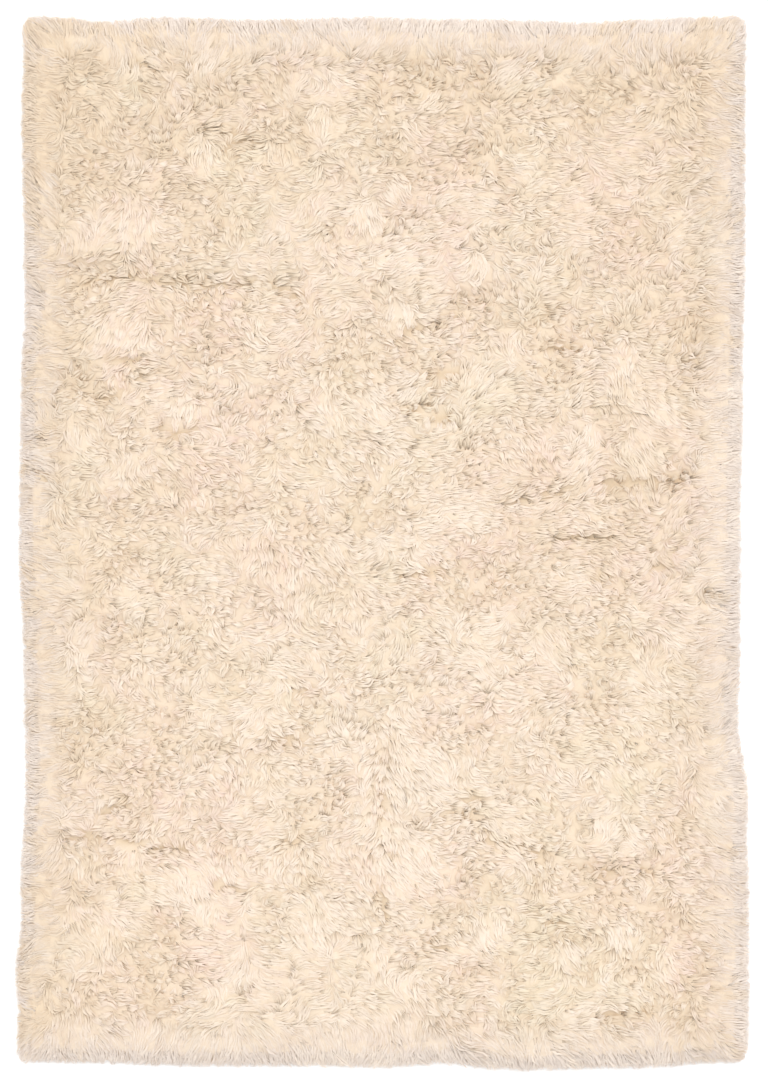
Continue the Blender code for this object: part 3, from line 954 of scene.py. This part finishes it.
def flat_map_places(count):
    """Where each corner of each strand lies on the band's flat map: a narrow upright cell apiece."""
    columns = math.ceil(count / CELL_ROWS)
    cell = np.arange(count)
    spots = []
    for face in faces:
        turns = np.array([around[v] / (2 * math.pi) % 1 for v in face])
        tips = np.array([ring[v] == len(RINGS) - 1 for v in face])
        if len(face) == 3 and not tips.any():  # the cap at the start
            turns, up = np.array(CAP_CORNERS), np.zeros(3)
        else:
            if np.ptp(turns[~tips]) > 0.5:
                turns = np.where(turns < 0.5, turns + 1, turns)
            turns[tips] = turns[~tips].mean()
            up = np.array([RINGS[ring[v]] for v in face])
        spots.append(np.stack([turns, up], 1))
    spots = np.concatenate(spots)
    across = (spots[:, 0] - spots[:, 0].min()) / np.ptp(spots[:, 0])
    u = ((cell % columns)[:, None] + CELL_SIDE + (1 - 2 * CELL_SIDE) * across) / columns
    v = ((cell // columns)[:, None] + CELL_END + (1 - 2 * CELL_END) * spots[:, 1]) / CELL_ROWS
    return np.stack([u, v], -1), columns


def strand_fibres(columns):
    """Fibres along a strand, laid out on the band's flat map."""

    def place(tree):
        flat = add_node(tree, "UVMap", uv_map=FLAT_MAP).outputs[0]
        scale = (columns * CELL_FIBRES, CELL_ROWS, 1)
        return add_node(tree, "Mapping", {"Vector": flat, "Scale": scale}).outputs[0]

    return place


def near_start(tree):
    """Painted shade: wool is darker towards the start of a strand, deep in the pile."""
    left = add_math(tree, "SUBTRACT", 1.0, read_attribute(tree, "along"))
    return add_math(tree, "POWER", left, START_SHADE)


def pile_band(number, x, y):
    """One band of the pile as a joined mesh of all its strands."""
    rng = np.random.default_rng(BAND_SEED + number)
    xs, ys, headings, loose = lock_paths(x, y, rng)
    points = strand_points(xs, ys, headings, loose, rng)
    count, size = points.shape[:2]
    corners = np.concatenate([np.array(face) for face in faces])
    totals = np.array([len(face) for face in faces])
    mesh = bpy.data.meshes.new("pile")
    mesh.vertices.add(count * size)
    mesh.vertices.foreach_set("co", points.astype(np.float32).ravel())
    mesh.loops.add(count * corners.size)
    offsets = (np.arange(count) * size)[:, None]
    mesh.loops.foreach_set("vertex_index", (corners[None, :] + offsets).astype(np.int32).ravel())
    mesh.polygons.add(count * totals.size)
    starts = np.concatenate([[0], np.cumsum(np.tile(totals, count))[:-1]])
    mesh.polygons.foreach_set("loop_start", starts.astype(np.int32))
    places, columns = flat_map_places(count)
    layer = mesh.uv_layers.new(name=FLAT_MAP)
    layer.uv.foreach_set("vector", places.astype(np.float32).ravel())
    # Painted light and shade from the tone, greyer painted shade at the rim, and painted shade round
    # each strand's start.
    tone = tone_at(x, y) + rng.normal(size=len(x)) * changed(LOCK_TONE, loose)
    tone = np.tile(tone, STRANDS_IN_LOCK) + rng.normal(size=count) * STRAND_TONE
    hue = np.tile(patches_at(x, y, HUE_PATCHES), STRANDS_IN_LOCK)
    hue += rng.normal(size=count) * STRAND_HUE
    set_values(mesh, "tone", np.repeat(np.clip(tone, -MOST_TONE, MOST_TONE), size))
    set_values(mesh, "hue", np.repeat(np.clip(hue, -1, 1), size))
    set_values(mesh, "rim", np.repeat(np.tile(rim_at(x, y), STRANDS_IN_LOCK), size))
    buried = np.tile(1 - RIM_BARE * rim_at(x, y, RIM_BARE_REACH), STRANDS_IN_LOCK)
    set_values(mesh, "along", (1 - np.outer(buried, 1 - np.array(RINGS)[ring])).ravel())
    mesh.update(calc_edges=True)
    mesh.shade_smooth()
    mesh.set_sharp_from_angle(angle=math.radians(STRAND_SHARP_ANGLE))
    material = wool_material("wool_pile", strand_fibres(columns), near_start, STRAND_FIBRE_RISE)
    return new_piece(f"pile_band_{number + 1}", mesh, material)


lock_x, lock_y, lock_band = lock_places()
bands = [pile_band(b, lock_x[lock_band == b], lock_y[lock_band == b]) for b in range(BANDS)]
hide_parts("rug")

# ---------------------------------------------------------------------------------------------------
# The floor, the light and the camera. The camera looks straight down with the head of the rug up.
# ---------------------------------------------------------------------------------------------------
CAMERA_HEIGHT = 5.0
FLOOR_SIZE = 60
KEY_FROM = Vector((0.1, 0.6, 1.0))

floor_bm = bmesh.new()
bmesh.ops.create_grid(floor_bm, x_segments=1, y_segments=1, size=FLOOR_SIZE)
floor_mesh = finished_mesh("floor", floor_bm)
floor = bpy.data.objects.new("floor", floor_mesh)
bpy.context.scene.collection.objects.link(floor)
floor_paint, _, floor_shader = new_material("pale_floor", roughness=0.9)
floor_shader.inputs["Base Color"].default_value = (0.98, 0.98, 0.98, 1)
floor_shader.inputs["Emission Color"].default_value = (1, 1, 1, 1)
floor_shader.inputs["Emission Strength"].default_value = 0.12
floor_mesh.materials.append(floor_paint)

world = bpy.data.worlds.new("studio")
world.use_nodes = True
world.node_tree.nodes["Background"].inputs["Color"].default_value = (1, 1, 1, 1)
world.node_tree.nodes["Background"].inputs["Strength"].default_value = 0.99
bpy.context.scene.world = world

key = bpy.data.lights.new("key", "SUN")
key.energy = 0.95
key.angle = math.radians(40)
key_object = bpy.data.objects.new("key", key)
key_object.rotation_euler = KEY_FROM.to_track_quat("Z", "Y").to_euler()
bpy.context.scene.collection.objects.link(key_object)

lens = bpy.data.cameras.new("camera")
lens.sensor_fit = "VERTICAL"
lens.sensor_height = 36
lens.lens = lens.sensor_height * (CAMERA_HEIGHT - LIP_HEIGHT) / (PICTURE[1] * METRES_PER_PIXEL)
camera = bpy.data.objects.new("camera", lens)
camera.location = (
    (PICTURE[0] / 2 - RUG_MIDDLE_PIXEL[0]) * METRES_PER_PIXEL,
    (RUG_MIDDLE_PIXEL[1] - PICTURE[1] / 2) * METRES_PER_PIXEL,
    CAMERA_HEIGHT,
)
bpy.context.scene.collection.objects.link(camera)
bpy.context.scene.camera = camera
bpy.context.scene.view_settings.view_transform = "Standard"
